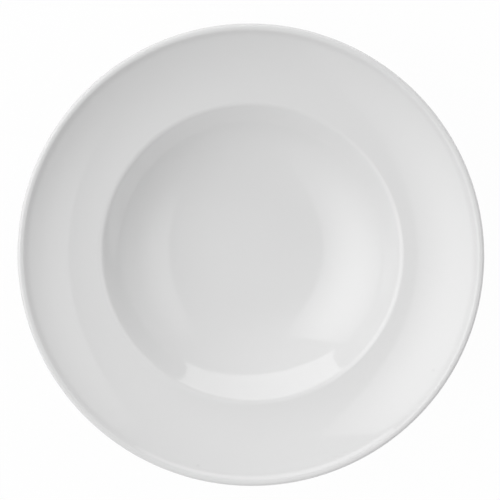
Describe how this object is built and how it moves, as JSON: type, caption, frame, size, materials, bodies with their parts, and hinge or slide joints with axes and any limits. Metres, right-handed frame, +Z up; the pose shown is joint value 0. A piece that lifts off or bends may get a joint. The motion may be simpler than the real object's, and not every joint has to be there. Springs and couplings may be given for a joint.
{
  "type": "rimmed soup plate",
  "caption": "Round white porcelain soup plate: deep rounded well for soup, wide dished rim with a rolled edge to carry it by, low bare foot ring to stand on.",
  "frame": {"origin": "on the table at the plate's axis, in the plane of the foot ring's standing face", "axes": "+Z up along the plate's axis; the plate is round, so X and Y are any two level directions"},
  "size_m": [0.24, 0.24, 0.047],
  "materials": {
    "porcelain": "matt fired porcelain, bare where the foot ring was wiped",
    "glaze": "glossy clear glaze over white porcelain"
  },
  "bodies": {
    "root": {"porcelain_body": "porcelain", "glaze_coat": "glaze", "recess_glaze": "glaze"}
  },
  "joints": []
}
